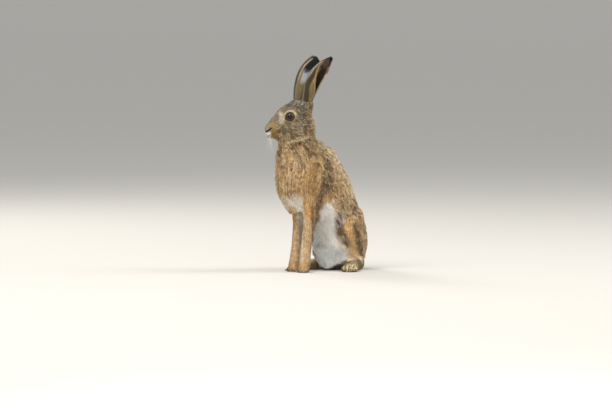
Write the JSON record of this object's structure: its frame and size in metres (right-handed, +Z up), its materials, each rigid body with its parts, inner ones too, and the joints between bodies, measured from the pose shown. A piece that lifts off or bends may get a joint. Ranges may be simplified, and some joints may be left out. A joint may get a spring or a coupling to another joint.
{
  "type": "brown hare, sitting upright",
  "caption": "Young brown hare sitting upright on its haunches, looking over its right shoulder, ears raised; life-size still model.",
  "frame": {"origin": "on the floor, under the centre of the model's bounding box", "axes": "+Z up; the forepaws are at -Y and the rump at +Y, the hare's left side is at +X; the head looks towards -X and -Y"},
  "size_m": [0.1512, 0.2406, 0.4308],
  "materials": {
    "coat": "ticked tan-brown fur, white on the belly",
    "ear": "short fur, brown in front, grey behind, black tip",
    "eye": "wet gloss, red-brown iris and black pupil",
    "claw": "dark horn"
  },
  "bodies": {
    "root": {"head": "coat", "neck": "coat", "torso": "coat", "tail": "coat", "ear_left": "ear", "eye_left": "eye", "foreleg_left": "coat", "forepaw_left": "coat", "thigh_left": "coat", "shank_left": "coat", "hind_foot_left": "coat", "ear_right": "ear", "eye_right": "eye", "foreleg_right": "coat", "forepaw_right": "coat", "thigh_right": "coat", "shank_right": "coat", "hind_foot_right": "coat", "claw_fore_left_1": "claw", "claw_fore_left_2": "claw", "claw_fore_left_3": "claw", "claw_fore_left_4": "claw", "claw_fore_right_1": "claw", "claw_fore_right_2": "claw", "claw_fore_right_3": "claw", "claw_fore_right_4": "claw", "claw_hind_left_1": "claw", "claw_hind_left_2": "claw", "claw_hind_left_3": "claw", "claw_hind_left_4": "claw", "claw_hind_right_1": "claw", "claw_hind_right_2": "claw", "claw_hind_right_3": "claw", "claw_hind_right_4": "claw"}
  },
  "joints": []
}
